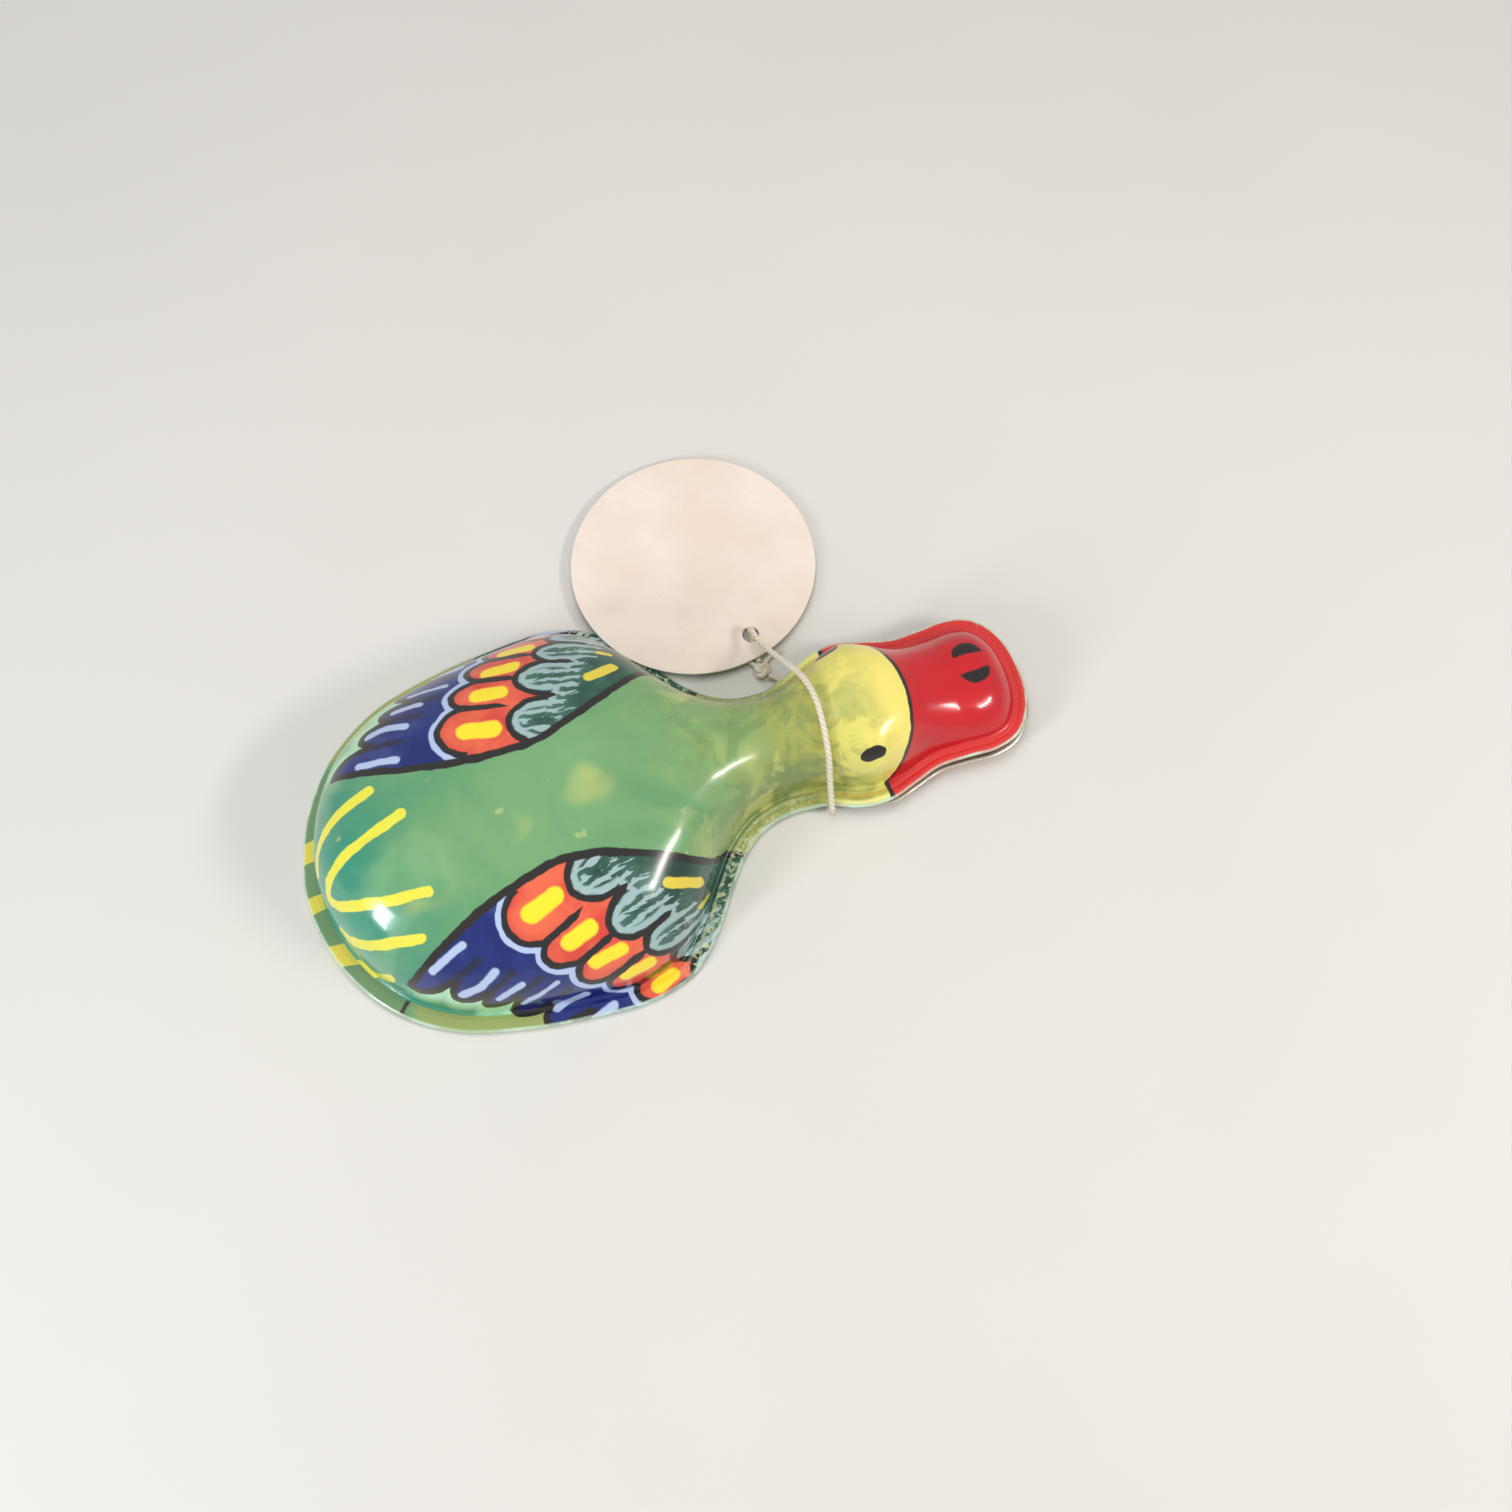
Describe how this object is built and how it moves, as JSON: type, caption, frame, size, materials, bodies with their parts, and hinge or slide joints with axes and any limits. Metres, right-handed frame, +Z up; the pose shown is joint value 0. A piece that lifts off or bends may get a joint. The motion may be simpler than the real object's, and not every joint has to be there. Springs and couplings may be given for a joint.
{
  "type": "tin duck clicker toy",
  "caption": "Flat-bottomed printed tin duck party clicker. Pressing the spring tongue in its belly clicks and opens the hinged lower bill; a round card hangs on a neck cord.",
  "frame": {"origin": "middle of the toy's plan, its cord and card left out, on the surface that it rests on", "axes": "+X towards the bill, +Z up, +Y to the duck's left, where the card lies"},
  "size_m": [0.1466, 0.1103, 0.0261],
  "materials": {
    "printed_tin": "gloss",
    "lacquered_tin": "gloss",
    "bare_steel": "satin",
    "spring_steel": "satin",
    "cotton_cord": "matte",
    "tag_card": "matte"
  },
  "bodies": {
    "root": {"body_shell": "printed_tin", "belly_plate": "lacquered_tin", "hinge_pin": "bare_steel", "hinge_bracket": "bare_steel", "return_spring": "spring_steel", "bracket_rivet_left": "bare_steel", "bracket_rivet_right": "bare_steel", "reed_rivet_left": "bare_steel", "reed_rivet_right": "bare_steel", "neck_cord": "cotton_cord", "cord_knot": "cotton_cord", "hang_tag": "tag_card"},
    "jaw": {"lower_bill": "lacquered_tin"},
    "reed": {"clicker_reed": "spring_steel"}
  },
  "joints": [
    {"name": "jaw_hinge", "type": "hinge", "parent": "root", "child": "jaw", "pos_m": [0.0247, 0, 0.0054], "axis": [0, 1, 0], "range_deg": [0, 10], "stiffness_Nm_per_rad": 0.024, "springref_deg": -14.32, "deforming": ["return_spring"]},
    {"name": "reed_press", "type": "hinge", "parent": "root", "child": "reed", "pos_m": [-0.0528, 0, 0.00183], "axis": [0, -1, 0], "range_deg": [0, 8.7], "stiffness_Nm_per_rad": 0.05}
  ],
  "couplings": [
    {"joint": "reed_press", "follows": "jaw_hinge", "ratio": 0.867}
  ]
}
